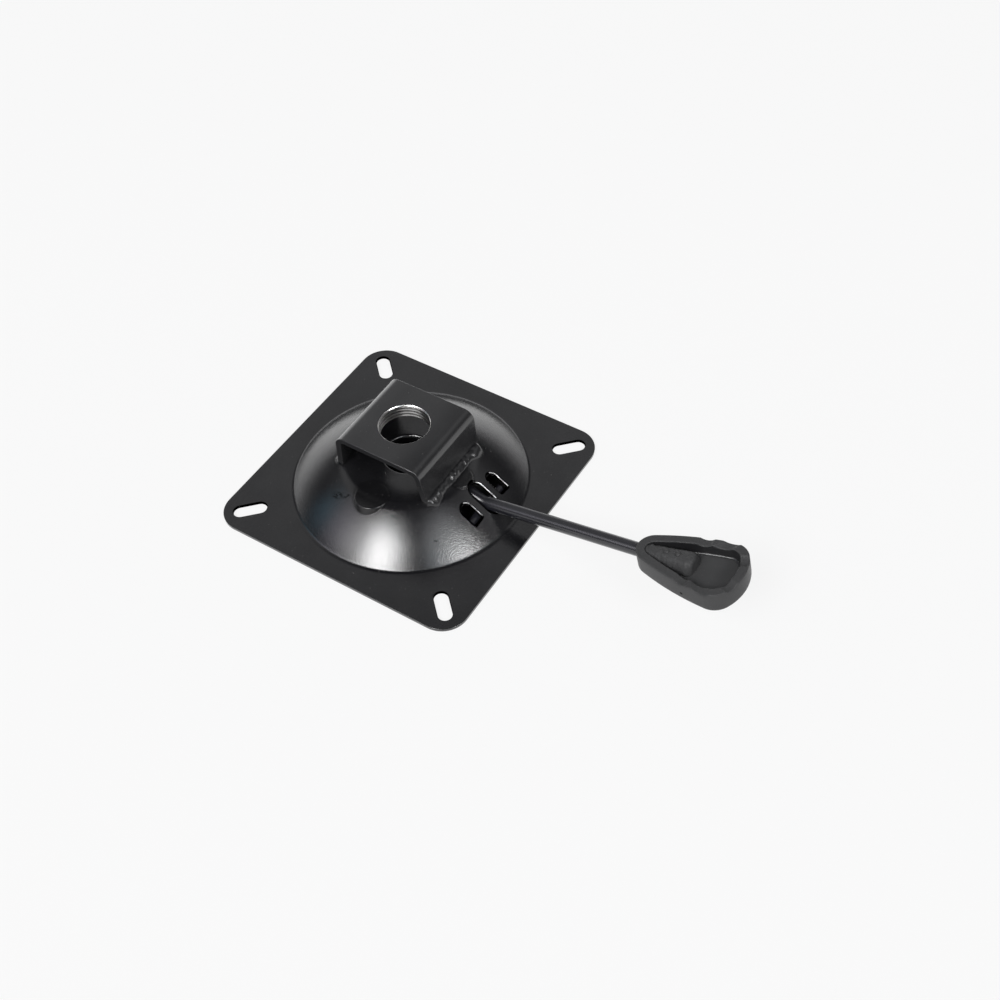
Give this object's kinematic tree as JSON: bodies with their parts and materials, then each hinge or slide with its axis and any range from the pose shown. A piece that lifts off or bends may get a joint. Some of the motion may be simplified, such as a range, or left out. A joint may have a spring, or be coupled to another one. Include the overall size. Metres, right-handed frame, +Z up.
{
  "type": "swivel seat base",
  "caption": "Square pressed seat plate with a central dome, a welded channel bracket with a bore for a gas spring column, and a hinged release lever with an oval paddle.",
  "frame": {"origin": "on the axis of the bore, in the plane of the flange's underside", "axes": "+Z up along the bore's axis, out of the bracket; +X along the lever, towards its paddle; +Y completes the right-handed frame"},
  "size_m": [0.2847, 0.16, 0.0472],
  "materials": {
    "plate_paint": "black powder coat, semi-gloss, fine orange peel",
    "bracket_paint": "black powder coat, more matt than the plate, bare bright bore",
    "weld_paint": "black powder coat over a lumpy weld bead",
    "lever_paint": "black coat, satin",
    "paddle_plastic": "moulded dark grey plastic with a fine grain"
  },
  "bodies": {
    "seat_plate": {"base_plate": "plate_paint", "seat_bracket": "bracket_paint", "weld_left": "weld_paint", "weld_right": "weld_paint"},
    "release_lever": {"lever_rod": "lever_paint", "pivot_pin": "lever_paint", "paddle": "paddle_plastic"}
  },
  "joints": [
    {"name": "lever_pivot", "type": "hinge", "parent": "seat_plate", "child": "release_lever", "pos_m": [0.0502, 0, 0.00757], "axis": [0, -1, 0], "range_deg": [0, 10]}
  ]
}
